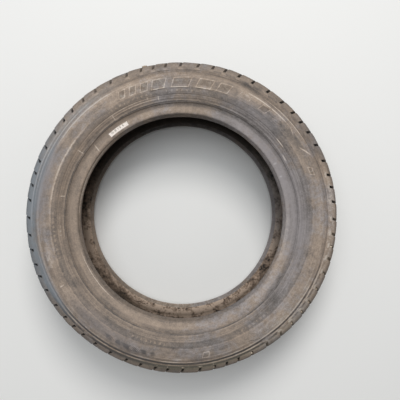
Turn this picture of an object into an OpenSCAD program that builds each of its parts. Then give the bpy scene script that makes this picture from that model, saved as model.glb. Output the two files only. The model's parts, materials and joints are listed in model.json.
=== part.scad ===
// A worn radial car tyre with no rim, lying flat on one sidewall.
// The axle line is +Z. The origin is the middle of the circle that it lies on.

/* [Overall] */
// Diameter over the worn tread, at the middle of the crown
outer_d = 626; // [560:1:760]
// Width over both sidewalls, at their widest
section_w = 214; // [200:1:260]
// Diameter of the round land at each bead toe, the narrowest part of the hole
toe_d = 398.4; // [330:0.1:420]
// Distance between the two bead toes
toe_gap = 140; // [110:1:150]

/* [Tread] */
// Width of the tread, between its two worn edges
tread_w = 150; // [130:1:184]
// How far the crown falls from its middle to the tread's edge
crown_drop = 6.5; // [3:0.5:12]
// Thickness of rubber, belts and plies under the tread
crown_t = 12; // [9:0.5:18]
// Where the shoulder's rubber ends, from the widest ring (0) to the tread's edge (1)
shoulder_end_at = 0.56; // [0.4:0.01:0.7]
// How wide the shoulder is there, from the tread's width (0) to the widest (1)
shoulder_end_out = 0.656; // [0.5:0.01:0.8]
// Distance from the tread's edge in to the inside corner under it
inside_inset = 13; // [6:1:20]
// Depth left in the grooves that run round the tread
groove_depth = 4; // [1.6:0.1:8]
// Width of each groove that runs round the tread
groove_w = 8.5; // [4:0.5:12]
// Distance between those grooves
groove_pitch = 30; // [20:1:33]

/* [Shoulder slots] */
// Number of slots round each shoulder
slot_count = 64; // [40:1:78]
// Width of a slot
slot_w = 4.6; // [2:0.1:8]
// Depth of a slot at its inner end
slot_depth = 3.5; // [1.5:0.1:7]
// Distance from the middle of the tread to a slot's inner end
slot_start = 56; // [50:1:66]
// How steeply a slot's floor falls towards the shoulder, in degrees
slot_fall = 15.6; // [8:0.1:22]
// Slant of the slots from the axle line, in degrees
slot_slant = 20; // [0:1:30]

/* [Sidewalls] */
// Thickness of a sidewall at its widest
side_t = 7.5; // [5:0.5:12]
// Width of the flat ring that the tyre lies on
rest_ring_w = 10; // [4:1:16]
// Height of that ring's middle, from toe (0) to tread (1)
rest_ring_at = 0.508; // [0.46:0.001:0.56]
// Step where the shoulder's rubber ends on the sidewall
shoulder_step = 1; // [0.4:0.1:1.6]
// Step down from the flat ring to the lower sidewall
ring_step = 0.8; // [0.3:0.1:1.2]
// Height of the fine ribs that ring the lower sidewall
rib_h = 0.8; // [0.3:0.1:1.5]
// Width of those ribs
rib_w = 1.6; // [0.8:0.1:2.5]

/* [Beads] */
// Width of the round land at each toe
toe_land_w = 3; // [2:0.5:5]
// Width of a bead's base, from toe to heel
bead_w = 17.5; // [14:0.5:22]
// Rise of a bead's base, from toe to heel
bead_rise = 3.4; // [2:0.1:5]
// Radius of a bead's rounded heel
heel_r = 4.5; // [3:0.5:6]
// Width of the smooth band above the heel, which meets a rim's flange
band_w = 12.4; // [10:0.1:16]
// Lean of that band from square to the axle line, in degrees
band_lean = 15; // [8:1:20]
// Width of the hollow between that band and the sidewall
hollow_w = 8; // [5:0.5:12]
// Depth of the hollow, below the sidewall's edge
hollow_depth = 4; // [2.5:0.1:6]

/* [Label] */
// Length of the small paper label on the upper bead
label_l = 45; // [30:1:80]
// Width of the label, which lies in the middle of the band
label_w = 10; // [6:0.5:12]
// Thickness of the label
label_t = 0.2; // [0.1:0.05:0.4]
// Direction of the label's middle, turned from +X, in degrees
label_turn = 125.5; // [0:0.5:359.5]

/* [Hidden] */
$fn = 96;

crown_r = outer_d / 2;
half_w = section_w / 2;
toe_r = toe_d / 2;
toe_y = toe_gap / 2;
tread_half = tread_w / 2;
over = 10;           // how far a cutter runs past the rubber
groove_draft = 8;    // lean of a groove's walls, in degrees
handle = 0.36;       // handle length of a smooth stretch, as a share of its chord

// The relative lengths of the tread's pitches, which repeat round the tyre
PITCHES = [6, 5, 6, 7, 6, 5, 5, 6, 7, 7, 6];

// Corners of the section, each as [distance from the axle line, distance from mid-plane]
ring_r = toe_r + (crown_r - toe_r) * rest_ring_at;
RING_OUTER = [ring_r + rest_ring_w / 2, half_w];
RING_INNER = [ring_r - rest_ring_w / 2, half_w];
RING_FOOT = RING_INNER - [0, ring_step];
TREAD_EDGE = [crown_r - crown_drop, tread_half];
SHOULDER_END = [
    RING_OUTER[0] + (TREAD_EDGE[0] - RING_OUTER[0]) * shoulder_end_at,
    tread_half + (half_w - tread_half) * shoulder_end_out];
SHOULDER_FOOT = SHOULDER_END - [0, shoulder_step];
TOE = [toe_r, toe_y];
LAND_END = TOE + [0, toe_land_w];
HEEL_BASE = TOE + [bead_rise, bead_w - heel_r];
BAND_WAY = [cos(band_lean), sin(band_lean)];
BAND_OUT = [-sin(band_lean), cos(band_lean)];
BAND_START = HEEL_BASE + heel_r * [1 - sin(band_lean), cos(band_lean)];
BAND_END = BAND_START + band_w * BAND_WAY;
HOLLOW_END = BAND_END + hollow_w * BAND_WAY + hollow_depth * BAND_OUT;
INSIDE_RING = [ring_r, half_w - side_t];
INSIDE_EDGE = TREAD_EDGE - [crown_t, inside_inset];
INSIDE_CROWN = [crown_r - crown_t, 0];

// Directions in which the outline runs
ACROSS_TREAD = [-0.17, 0.985];
DOWN_SHOULDER = [-0.86, 0.51];
TO_AXLE = [-1, 0];
DOWN_TO_HOLLOW = [-0.89, -0.45];
UP_FROM_TOE = [0.997, 0.07];
UNDER_TREAD = [0.13, -0.99];

// A smooth stretch from a, running along way_a, to b, running along way_b. It leaves out a.
function stretch(a, way_a, b, way_b, n) = let (h = handle * norm(b - a))
    [for (i = [1 : n]) let (t = i / n, s = 1 - t)
        s * s * s * a + 3 * s * s * t * (a + h * way_a)
        + 3 * s * t * t * (b - h * way_b) + t * t * t * b];

// Radius of a shallow crown of radius top, at y, that passes through the point edge
function crown_at(top, edge, y) = top - (top - edge[0]) * pow(y / edge[1], 2);
function crown(top, edge, n) = [for (i = [1 : n]) let (y = edge[1] * i / n)
    [crown_at(top, edge, y), y]];

function backwards(points) = [for (i = [len(points) - 1 : -1 : 0]) points[i]];

// Four points of a fine rib that stands on p, where the outline runs along way
function rib(p, way) = let (half = rib_w / 2 * way, up = rib_h * [way[1], -way[0]])
    [p - half, p - half + up, p + half + up, p + half];

// The lower sidewall, with a rib on some of its points
RIBS_AT = [3, 6];
LOWER_CURVE = stretch(RING_FOOT, TO_AXLE, HOLLOW_END, DOWN_TO_HOLLOW, 10);
function way_at(i) = let (chord = LOWER_CURVE[i + 1] - LOWER_CURVE[i - 1]) chord / norm(chord);
LOWER_SIDE = [for (i = [0 : len(LOWER_CURVE) - 1])
    each len(search(i, RIBS_AT)) > 0 ? rib(LOWER_CURVE[i], way_at(i)) : [LOWER_CURVE[i]]];

// The arc of the heel, from the bead's base to the band
HEEL = [for (i = [0 : 3]) let (turn = (90 - band_lean) * i / 3)
    HEEL_BASE + heel_r * [1 - cos(turn), sin(turn)]];

// Half of the section: out over the tread, down the sidewall to the toe, and back up inside
HALF = concat(
    [[crown_r, 0]],
    crown(crown_r, TREAD_EDGE, 6),
    stretch(TREAD_EDGE, ACROSS_TREAD, SHOULDER_END, DOWN_SHOULDER, 6),
    [SHOULDER_FOOT],
    stretch(SHOULDER_FOOT, DOWN_SHOULDER, RING_OUTER, TO_AXLE, 6),
    [RING_INNER, RING_FOOT],
    LOWER_SIDE,
    stretch(HOLLOW_END, -BAND_OUT, BAND_END, -BAND_WAY, 4),
    backwards(HEEL),
    [LAND_END],
    [TOE],
    stretch(TOE, UP_FROM_TOE, INSIDE_RING, -TO_AXLE, 8),
    stretch(INSIDE_RING, -TO_AXLE, INSIDE_EDGE, UNDER_TREAD, 8),
    backwards(crown(INSIDE_CROWN[0], INSIDE_EDGE, 3)),
    [INSIDE_CROWN]);

// The other half mirrors it, without the two points on the mid-plane
OUTLINE = concat(HALF, [for (i = [len(HALF) - 2 : -1 : 1]) [HALF[i][0], -HALF[i][1]]]);

// One groove that runs round the tread at y, with leaning walls
module groove(y) {
    floor_r = crown_at(crown_r, TREAD_EDGE, y) - groove_depth;
    top_r = crown_r + over;
    lean = (top_r - floor_r) * tan(groove_draft);
    polygon([[floor_r, y - groove_w / 2], [floor_r, y + groove_w / 2],
        [top_r, y + groove_w / 2 + lean], [top_r, y - groove_w / 2 - lean]]);
}

module section() {
    difference() {
        polygon(OUTLINE);
        for (i = [-1.5 : 1 : 1.5]) groove(i * groove_pitch);
    }
}

// The sum of the first n pitch lengths
function pitch_sum(n) = n <= 0 ? 0 : PITCHES[(n - 1) % len(PITCHES)] + pitch_sum(n - 1);

// The cutter of one slot in the upper shoulder, in the direction +X
module slot_cutter() {
    floor_r = crown_at(crown_r, TREAD_EDGE, slot_start) - slot_depth;
    translate([floor_r, slot_start * tan(slot_slant), slot_start])
        rotate([-slot_slant, 0, 0]) rotate([0, -slot_fall, 0])
            translate([0, -slot_w / 2, 0]) cube([4 * over, slot_w, half_w - slot_start + over]);
}

// The whole casing, one moulded piece: tread, sidewalls and beads round an open hollow
module tyre() {
    color([0.47, 0.43, 0.41]) translate([0, 0, half_w])
        difference() {
            rotate_extrude() section();
            for (side = [0, 1], k = [0 : slot_count - 1])
                rotate([180 * side, 0, 360 * pitch_sum(k) / pitch_sum(slot_count)])
                    slot_cutter();
        }
}

// The paper label, which lies on the upper bead's band and bends round with it
module bead_label() {
    arc = label_l / (BAND_START[0] + BAND_END[0]) * 360 / PI;
    edge = BAND_START + (band_w - label_w) / 2 * BAND_WAY;
    color([0.9, 0.89, 0.84]) translate([0, 0, half_w]) rotate(label_turn - arc / 2)
        rotate_extrude(angle = arc)
            polygon([edge, edge + label_w * BAND_WAY,
                edge + label_w * BAND_WAY + label_t * BAND_OUT, edge + label_t * BAND_OUT]);
}

tyre();
bead_label();
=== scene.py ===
"""Looks for a worn radial car tyre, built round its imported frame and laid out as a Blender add-on."""

import json
import math
import random
from types import SimpleNamespace

import bmesh
import bpy
import numpy as np
from bpy.props import FloatProperty, FloatVectorProperty, IntProperty, PointerProperty
from mathutils import Matrix, Vector, noise


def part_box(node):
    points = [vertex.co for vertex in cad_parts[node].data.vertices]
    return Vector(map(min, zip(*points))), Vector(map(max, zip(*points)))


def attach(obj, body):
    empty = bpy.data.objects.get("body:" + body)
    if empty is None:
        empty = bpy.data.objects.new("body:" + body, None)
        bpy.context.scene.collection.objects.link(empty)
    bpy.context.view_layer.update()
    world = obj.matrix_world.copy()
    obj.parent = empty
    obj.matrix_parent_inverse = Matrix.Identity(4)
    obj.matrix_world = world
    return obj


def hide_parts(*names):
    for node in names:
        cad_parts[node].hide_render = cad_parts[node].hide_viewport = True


bl_info = {
    "name": "Worn Tyre",
    "version": (1, 0, 0),
    "blender": (4, 5, 0),
    "location": "3D View > Sidebar > Tyre",
    "description": "Builds an old car tyre with worn tread, dusty sidewalls and a paper label",
    "category": "Object",
}

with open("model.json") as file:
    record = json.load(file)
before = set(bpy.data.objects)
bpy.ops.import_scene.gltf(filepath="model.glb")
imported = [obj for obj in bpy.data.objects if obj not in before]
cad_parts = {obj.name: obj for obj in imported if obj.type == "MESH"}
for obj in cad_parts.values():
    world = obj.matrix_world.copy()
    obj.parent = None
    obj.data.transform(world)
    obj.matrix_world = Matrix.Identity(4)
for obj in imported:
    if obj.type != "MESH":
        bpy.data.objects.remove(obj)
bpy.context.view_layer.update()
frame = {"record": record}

MM = 0.001
MOUNTS = {mount["name"]: mount for mount in frame["record"]["mounts"]}
LOW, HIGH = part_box("tyre")
MIDDLE = (LOW.z + HIGH.z) / 2  # height of the tyre's mid-plane
CROWN_R = HIGH.x
HALF_W = (HIGH.z - LOW.z) / 2
TOE_R = MOUNTS["rim_bore"]["dims"]["r_mm"] * MM
LAND_OUT = MOUNTS["rim_bore"]["dims"]["length_mm"] * MM / 2
RING_R = MOUNTS["rest"]["pos_m"][0]

# The section: its steps, its ribs as (height, width), and directions in which the outline runs
HANDLE = 0.36  # handle length of a smooth stretch, as a share of its chord
SHOULDER_END_AT = 0.56  # where the shoulder's rubber ends, from the ring (0) to the tread's edge (1)
SHOULDER_END_OUT = 0.656  # how wide it is there, from the tread's width (0) to the widest (1)
SHOULDER_ROWS = (60.5 * MM, 65 * MM, 70 * MM)
SHOULDER_STEP = 1 * MM
RING_STEP = 0.8 * MM
LAND_WIDTH = 3 * MM
SOFT_TOE = (0.7 * MM, 0.4 * MM)  # how far the toe's corner is cut, outwards and across
INSIDE_INSET = 13 * MM  # from the tread's edge in to the inside corner under it
RIB_BED = 0.4 * MM  # how far the fine ribs' bed is sunk
FINE_RIB = (0.55 * MM, 1.1 * MM)
LOWER_RIB = (0.8 * MM, 1.4 * MM)
BASE_LINE = (0.3 * MM, 0.9 * MM)
HEEL_STEPS = 5
TO_AXLE = Vector((-1, 0))
ACROSS_TREAD = Vector((-0.17, 0.985))
DOWN_SHOULDER = Vector((-0.86, 0.51))
DOWN_TO_HOLLOW = Vector((-0.89, -0.45))
UP_FROM_TOE = Vector((0.997, 0.07))
UNDER_TREAD = Vector((0.13, -0.99))

# The tread, with its cuts as stretches from mid-plane and as columns of each pitch
PITCHES = (6, 5, 6, 7, 6, 5, 5, 6, 7, 7, 6)  # relative lengths, which repeat round it
COLUMNS = 10  # strips of faces in each pitch
SLOT_COLUMNS = (0, 1)
CENTRE_SIPE_END, CENTRE_SIPE_COLUMNS = 9 * MM, (0, 5)
RIB_SIPE, RIB_SIPE_COLUMNS = (21 * MM, 39 * MM), (5,)
SHOULDER_SIPE, SHOULDER_SIPE_COLUMNS = (53 * MM, 82 * MM), (4, 7)
SLOT_END = 95 * MM
SLANT_END = 92 * MM
WEAR_FADE = 6 * MM  # the blocks' wear ends over this length
GROOVE_DRAFT = math.radians(8)
OUTSIDE_R = 285 * MM  # the tread's outside is all beyond this
FULL_SHADE_DEPTH = 2 * MM  # a cut this deep or more gets the full painted shade inside
RIM_R = 287 * MM  # dust gathers at the slots' ends beyond this

TREAD, WALL, LINER, FLOOR = range(4)  # zones of the casing's mesh
THIN = {WALL: 2, LINER: 4}  # one column in so many is kept there
MERGE = 0.02 * MM
UNEVEN = ((9, Vector(), 0.8 * MM), (34, Vector((5, 1, 3)), 0.35 * MM))  # scale, shift, size
LIFTED_OVER = 30 * MM  # it lies flat, so its rise and fall begins over this height

# The raised marks, the label, and the mud
# PANEL_SHADE and TICK_SHADE are amounts of painted shade, on the panels' sunk middles and on the ticks
PANEL_RISE, PANEL_FRAME, PANEL_SLANT, PANEL_SHADE = 0.8 * MM, 2.4 * MM, 0.35, 0.49
LOW_RISE, TICK_SHADE = 0.5 * MM, 0.36
HATCH_PITCH, HATCH_WIDTH, HATCH_SLANT = 2.6 * MM, 1.2 * MM, 0.5
LONGEST_EDGE = 7 * MM  # longer ones are cut, so that a mark bends with the wall
LOWER_MARKS_TURN = 47  # how far the lower side's marks are turned, in degrees
LABEL_THICKNESS, LABEL_GAP = 0.2 * MM, 0.12 * MM
LABEL_TEAR, LABEL_CURL, LABEL_BUCKLE = 0.35 * MM, 0.9 * MM, 0.08 * MM  # edges, ends, waves
CURL_FROM, CURL_OVER = 0.42, 0.08  # its ends curl up from here, as shares of its length
MUDDY_SIDE = 330  # direction of the muddiest shoulder, in degrees
CHIP = (104, 306 * MM, 78 * MM, (5.5 * MM, 3 * MM, 1.8 * MM))  # direction, radius, height, half size
CRUMB_COUNT, CRUMB_SIDE, CRUMB_SPREAD, CRUMB_R = 46, 278, 34, 203.4 * MM

# How dusty the sidewall is, from the toe (0) to the crown (1); the dip in the hollow beside the flange band
# is painted shade
BAND_DUST_AND_SHADE = (
    (0, 0.5), (0.05, 0.52), (0.07, 0.68), (0.155, 0.68), (0.175, 0.46), (0.22, 0.42), (0.25, 0.5),
    (0.34, 0.48), (0.36, 0.38), (0.445, 0.37), (0.465, 0.6), (0.53, 0.56), (0.6, 0.53), (0.65, 0.6),
    (0.7, 0.62), (0.76, 0.54), (0.8, 0.56), (0.92, 0.52), (1, 0.4))
# Fine rings of painted shade (darker than 0.5) and painted highlight (paler), from the toe (0) to the crown
# (1)
RING_SHADE_AND_HIGHLIGHT = (
    (0, 0.5), (0.225, 0.5), (0.234, 0.03), (0.242, 0.03), (0.25, 0.5), (0.258, 0.8), (0.27, 0.5),
    (0.3, 0.5), (0.307, 0.74), (0.315, 0.5), (0.332, 0.5), (0.339, 0.78), (0.35, 0.5), (0.452, 0.5),
    (0.464, 0.84), (0.478, 0.5), (0.625, 0.5), (0.637, 0.72), (0.65, 0.5), (0.69, 0.5), (0.703, 0.82),
    (0.715, 0.5), (0.723, 0.12), (0.742, 0.12), (0.753, 0.5), (0.765, 0.86), (0.777, 0.5),
    (0.786, 0.12), (0.806, 0.14), (0.825, 0.5))
# Bars on the label: start, width and darkness
LABEL_BARS = [(0, 0)] + [stop for start, width, dark in (
    (0.1, 0.13, 0.45), (0.3, 0.09, 0.7), (0.46, 0.05, 0.5), (0.58, 0.05, 0.75), (0.73, 0.05, 0.85))
    for stop in ((start, dark), (start + width, 0))]

# Raised marks, by kind: direction in degrees, length, middle radius and depth in mm
MARKS = {
    "panel": ((116, 14, 262.5, 16), (111.2, 14, 262, 17), (106.2, 16, 261.5, 18), (100, 27, 261, 20),
              (90.3, 36, 261, 20), (80.2, 30, 261, 19), (72, 24, 261.5, 18), (53, 18, 262, 15),
              (280, 14, 266, 12), (20, 16, 264, 9)),
    "hatch": ((62.5, 26, 262, 13), (45.5, 18, 262, 12), (240, 16, 266, 9), (250, 20, 266, 8),
              (306, 24, 266, 7), (198, 26, 266, 8)),
    "tick": [(start - gap * i, (2.2, 4.4, 3)[i * i % 3], radius, 4)
             for start, many, gap, radius in ((123, 10, 2.1, 245), (97, 6, 2.3, 245), (198, 11, 2, 246),
                                              (188, 6, 2, 234), (262, 8, 2.1, 245), (312, 8, 2, 245))
             for i in range(many)]}

# Patches of dirt, for each side and channel, with a few of painted shade in the bare channel: direction and
# half spread in degrees, middle and half width in mm (radius on a wall, distance from mid-plane on the
# tread), strength
DUST, MUD, HAZE, BARE_AND_SHADE = range(4)
PATCHES = {
    ("wall", DUST): ((122, 34, 270, 17, 0.45), (96, 24, 279, 9, 0.4), (57, 12, 266, 12, 0.5),
        (45, 9, 268, 9, 0.6), (150, 32, 255, 5, 0.5), (0, 32, 268, 16, 0.45), (100, 34, 211, 9, 0.6),
        (60, 32, 211, 8, 0.2), (255, 12, 212, 9, 0.3), (275, 30, 214, 9, 0.4), (318, 34, 214, 11, 0.45),
        (345, 20, 272, 10, 0.35), (214, 8, 262, 14, 0.7), (197, 12, 262, 12, 0.55), (269, 6, 273, 4, 0.7),
        (281, 3, 264, 9, 0.5), (315, 36, 268, 20, 0.6), (330, 24, 243, 9, 0.25), (250, 18, 226, 6, 0.2),
        (300, 30, 222, 7, 0.35), (220, 30, 277, 8, 0.35), (315, 32, 277, 9, 0.4), (8, 20, 294, 12, 0.6),
        (312, 34, 293, 12, 0.7), (5, 26, 290, 12, 0.35), (138, 34, 286, 20, 0.6), (350, 44, 291, 14, 0.7),
        (2, 28, 292, 12, 0.6), (322, 34, 288, 16, 0.6)),
    ("wall", MUD): ((150, 60, 238, 14, 0.42), (130, 50, 221, 7, 0.5), (190, 50, 222, 22, 0.3),
        (322, 44, 292, 12, 0.2), (274, 40, 292, 11, 0.5), (320, 40, 270, 16, 0.15), (30, 34, 292, 10, 0.3)),
    # the cool haze on the left, from 134 to 208 degrees, is partly painted cool light
    ("wall", HAZE): ((166, 26, 273, 16, 0.6), (134, 26, 283, 15, 0.5), (178, 50, 294, 24, 1),
        (160, 30, 280, 10, 0.55), (208, 22, 284, 14, 0.8), (10, 46, 222, 24, 0.6), (35, 50, 210, 12, 0.7),
        (345, 28, 236, 20, 0.45), (55, 26, 250, 18, 0.4), (235, 30, 262, 30, 0.35)),
    ("wall", BARE_AND_SHADE): ((63, 7, 286, 10, 0.8), (40, 26, 290, 8, 0.4), (34, 6, 268, 7, 0.5),
        (47, 14, 251, 9, 0.5), (96, 5, 278, 5, 0.5), (93, 36, 221, 4, 0.2), (262, 34, 252, 18, 0.3),
        # (247, 14, 268, 9) is painted shade, with the dark row of spots at 238 to 258 degrees
        (318, 12, 236, 12, 0.5), (247, 14, 268, 9, 0.5), (54, 30, 254, 18, 0.4), (46, 30, 263, 15, 0.5),
        (52, 36, 238, 17, 0.3), (228, 30, 261, 15, 0.45), (262, 44, 290, 10, 0.55), (206, 9, 253, 6, 0.4)),
    ("tread", MUD): ((335, 60, 70, 30, 0.7), (20, 50, 70, 24, 0.45), (200, 60, -60, 30, 0.5)),
    # partly painted cool light on the left tread
    ("tread", HAZE): ((180, 56, 74, 26, 1),),
    ("near_base", DUST): ((150, 50, 203, 7, 0.5), (355, 80, 203, 7, 0.9), (42, 34, 203, 7, 0.6)),
    ("near_base", MUD): ((150, 80, 203, 7, 0.3),),
    ("near_base", HAZE): ((15, 70, 203, 7, 0.3),),
    # painted shade on the top of the near base, which faces away from the lamps
    ("near_base", BARE_AND_SHADE): ((88, 30, 203, 7, 0.4),),
    ("far_bead", DUST): ((268, 44, 212, 30, 0.7), (280, 74, 214, 40, 0.9), (280, 60, 220, 26, 0.6),
        (195, 60, 216, 38, 0.9), (355, 54, 216, 38, 0.9)),
    ("far_bead", MUD): ((205, 50, 212, 34, 0.35), (275, 110, 227.5, 4.5, 0.95)),
    ("far_bead", HAZE): ((8, 44, 212, 30, 0.8),),
    # painted shade on the top of the lower bead, in the near side's shadow
    ("far_bead", BARE_AND_SHADE): ((98, 60, 204, 20, 0.9),),
    ("under", DUST): ((60, 40, 262, 16, 0.5), (190, 46, 268, 18, 0.45)),
    ("under", MUD): ((300, 60, 292, 12, 0.55), (130, 50, 258, 18, 0.4)),
    ("under", HAZE): ((20, 50, 286, 18, 0.5),)}
# Scuffs on the upper sidewall, with one painted highlight and a row of painted shade: direction and half
# spread in degrees, radius and half width in mm, lean in degrees for each mm outwards, strength (darker
# where it is below 0)
SCUFFS_AND_PAINTED_LIGHT = (
    (140.7, 0.35, 213, 10, -0.06, 1), (146.8, 0.35, 233, 9, 0, 0.9), (169.6, 0.35, 233, 6, 0.05, 1),
    (124.3, 0.35, 233, 7, 0, 0.7), (101.1, 0.3, 235, 6, 0, 0.8), (106.2, 0.3, 239, 3, 0, 0.8),
    (30.3, 0.8, 210, 4.5, 0, 0.6), (22.7, 0.7, 209, 3, 0, 0.8), (30.5, 2.4, 229, 2, 0, 0.8),
    (37.5, 3.5, 238, 1.4, 0, 0.9), (51, 13, 272, 1.2, 0, 0.9), (43, 17, 279.5, 1.2, 0, 0.8),
    (28.5, 0.7, 270, 9, -0.34, 0.9), (38.2, 0.6, 269, 4, 0.55, 0.8), (122, 26, 238.3, 1, 0, 0.7),
    (112, 16, 234, 1, 0, 0.6), (209.5, 0.35, 263, 6, 0, 0.8),
    # (155, 36, 201.4) is a painted highlight along the near toe's rounded edge
    (301, 0.6, 274, 7, 0.5, -0.7), (215, 22, 206.5, 1, 0, 0.8), (155, 36, 201.4, 1.6, 0, 0.8),
    (157, 26, 252.5, 2.2, 0, 0.5), (150, 30, 284, 1.8, 0, 0.9), (165, 26, 290.5, 1.4, 0, 0.8),
    (190, 34, 277, 3.4, 0, 0.45), (205, 18, 284, 2, 0, 0.6), (134, 22, 276, 2.2, 0, 0.7),
    # this row, from 238.5 to 257.8 degrees, is painted shade, as raised letters would cast
    (238.5, 1.9, 268, 7, 0.1, -0.45), (242.6, 1.5, 267, 6, 0.1, -0.4), (246.4, 1.8, 268, 7, 0.1, -0.45),
    (250.4, 1.5, 267, 6, 0.1, -0.4), (254, 1.7, 267, 7, 0.1, -0.35), (257.8, 1.4, 266, 5, 0.1, -0.3))

# -------- sizes and colours


def distance(name, description, default):
    """A property that holds a length, given in mm."""
    return FloatProperty(name=name, description=description, default=default * MM, unit="LENGTH")


def tilt(name, description, default):
    """A property that holds an angle, given in degrees."""
    return FloatProperty(name=name, description=description, default=math.radians(default),
                         unit="ROTATION")


def tint(name, description, default):
    """A property that holds a colour."""
    return FloatVectorProperty(name=name, description=description, default=default, subtype="COLOR",
                               size=3, min=0, max=1)


class TyreSizes(bpy.types.PropertyGroup):
    """Sizes of the casing and its label that a user may change."""

    pitch_count: IntProperty(
        name="Pitches", description="Tread blocks round each shoulder", default=64, min=40, max=78)
    tread_width: distance("Tread width", "Between the tread's worn edges", 150)
    crown_drop: distance("Crown drop", "Fall from the crown's middle to the tread's edge", 6.5)
    crown_thickness: distance("Crown thickness", "Rubber, belts and plies under the tread", 12)
    groove_depth: distance("Groove depth", "Depth left in the grooves round the tread", 4)
    groove_width: distance("Groove width", "Width of each groove round the tread", 8.5)
    groove_pitch: distance("Groove spacing", "Distance between those grooves", 30)
    slot_width: distance("Slot width", "Width of a shoulder slot", 5.6)
    slot_start: distance("Slot start", "From mid-plane to a slot's inner end", 56)
    slot_depth: distance("Slot depth", "Depth of a slot at its inner end", 3.5)
    slot_fall: tilt("Slot fall", "Fall of a slot's floor towards the shoulder", 18.5)
    slot_slant: tilt("Slot slant", "Slant of the slots from the axle line", 20)
    sipe_width: distance("Sipe width", "Width of the fine cuts in the blocks", 0.9)
    sipe_depth: distance("Sipe depth", "Depth of the fine cuts", 2.5)
    block_wear: distance("Block wear", "How far the leading end of a shoulder block has worn down",
                         0.5)
    ring_width: distance("Ring width", "Flat ring at the widest part of the sidewall", 10)
    side_thickness: distance("Sidewall thickness", "At the widest part", 7.5)
    bead_width: distance("Bead width", "From toe to heel", 17.5)
    bead_rise: distance("Bead rise", "Rise of the bead's base from toe to heel", 3.4)
    heel_radius: distance("Heel radius", "Rounding of the bead's heel", 4.5)
    band_width: distance("Flange band width", "Smooth band above the heel", 12.4)
    band_lean: tilt("Flange band lean", "Lean of that band", 15)
    hollow_width: distance("Hollow width", "Between the band and the sidewall", 8)
    hollow_depth: distance("Hollow depth", "Depth of that hollow", 4)
    label_length: distance("Label length", "Of the paper label, round the bead", 42)
    label_width: distance("Label width", "Of the paper label", 8)


class TyreLooks(bpy.types.PropertyGroup):
    """Colours of the finishes and of the painted shade in the cuts, and strengths of the lamps."""

    rubber: tint("Rubber", "Bare weathered rubber", (0.085, 0.076, 0.071))
    dust: tint("Dust", "Dust that lies on the rubber", (0.385, 0.304, 0.242))
    cool_dust: tint("Cool dust", "Greyer dust, in patches", (0.338, 0.306, 0.300))
    # partly painted cool light: this cool grey lies on the left shoulder and tread
    haze: tint("Haze", "Cool grey bloom on the shoulder", (0.235, 0.262, 0.290))
    lilac: tint("Lilac haze", "Warmer bloom on the other side", (0.285, 0.262, 0.268))
    frost: tint("Frost", "Pale streaks in the bloom", (0.47, 0.47, 0.50))
    chalk: tint("Chalk", "The palest dust, in scuffs and spots", (0.60, 0.53, 0.46))
    silt: tint("Silt", "Brown dust that has settled inside", (0.49, 0.355, 0.265))
    pale_silt: tint("Pale silt", "The same dust where it lies thickest", (0.72, 0.56, 0.44))
    stain: tint("Stain", "Brown film of fine mud", (0.215, 0.155, 0.108))
    # partly painted reflection: the film turns this olive towards the bottom of the tyre
    olive_stain_and_reflection: tint("Olive stain", "The film where it has gone green", (0.20, 0.18, 0.118))
    # painted shade: the near black laid deep in slots and sipes, in the panels' sunk middles and a little on
    # the ticks
    cut: tint("Cut", "Deep inside slots and fine cuts", (0.010, 0.009, 0.008))
    mud: tint("Mud", "Dried mud", (0.33, 0.245, 0.18))
    pale_mud: tint("Pale mud", "The mud's pale grit", (0.58, 0.50, 0.40))
    liner: tint("Liner", "The smooth inner liner", (0.035, 0.035, 0.033))
    paper: tint("Paper", "The label", (0.90, 0.82, 0.76))
    stained_paper: tint("Stained paper", "Its stains", (0.50, 0.44, 0.34))
    ink: tint("Ink", "The label's bars", (0.22, 0.20, 0.17))
    floor: tint("Floor", "The floor", (0.86, 0.86, 0.85))
    floor_bounce: tint("Floor bounce", "The floor as it lights the tyre", (0.44, 0.44, 0.43))
    key_power: FloatProperty(name="Key lamp", description="Power of the main lamp", default=40, unit="POWER")
    fill_power: FloatProperty(name="Fill lamp", description="Power of the other lamp", default=30,
                              unit="POWER")
    sky_strength: FloatProperty(name="Sky", description="Light from all round", default=0.25)


# -------- the section's outline


def stretch(start, way_start, end, way_end, count):
    """Points of a smooth stretch from start to end, leaving start out."""
    a, b = Vector(start), Vector(end)
    handle = HANDLE * (b - a).length
    c, d = a + handle * Vector(way_start), b - handle * Vector(way_end)
    found = []
    for i in range(1, count + 1):
        t = i / count
        s = 1 - t
        found.append(s ** 3 * a + 3 * s * s * t * c + 3 * s * t * t * d + t ** 3 * b)
    return found


def crown_at(top, edge, y):
    """Radius of a shallow crown of radius top at y, which passes through the point edge."""
    return top - (top - edge.x) * (y / edge.y) ** 2


def corners(s):
    """The named corners of the section, each as (distance from the axle line, from mid-plane)."""
    edge = Vector((CROWN_R - s.crown_drop, s.tread_width / 2))
    ring_out = Vector((RING_R + s.ring_width / 2, HALF_W))
    toe = Vector((TOE_R, LAND_OUT - LAND_WIDTH))
    heel = toe + Vector((s.bead_rise, s.bead_width - s.heel_radius))
    way = Vector((math.cos(s.band_lean), math.sin(s.band_lean)))
    out = Vector((-way.y, way.x))
    band_start = heel + s.heel_radius * Vector((1 - way.y, way.x))
    band_end = band_start + s.band_width * way
    return SimpleNamespace(
        edge=edge, ring_out=ring_out, toe=toe, heel=heel, way=way, out=out,
        band_start=band_start, band_end=band_end,
        shoulder_end=Vector((ring_out.x + (edge.x - ring_out.x) * SHOULDER_END_AT,
                             edge.y + (HALF_W - edge.y) * SHOULDER_END_OUT)),
        ring_in=ring_out - Vector((s.ring_width, 0)),
        hollow_end=band_end + s.hollow_width * way + s.hollow_depth * out,
        inside_ring=Vector((RING_R, HALF_W - s.side_thickness)),
        inside_edge=edge - Vector((s.crown_thickness, INSIDE_INSET)))


def rib(point, way, height, width):
    """Four points of a fine rib that stands on point, where the outline runs along way."""
    half = way * (width / 2)
    up = Vector((way.y, -way.x)) * height
    return [point - half, point - half + up, point + half + up, point + half]


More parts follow.
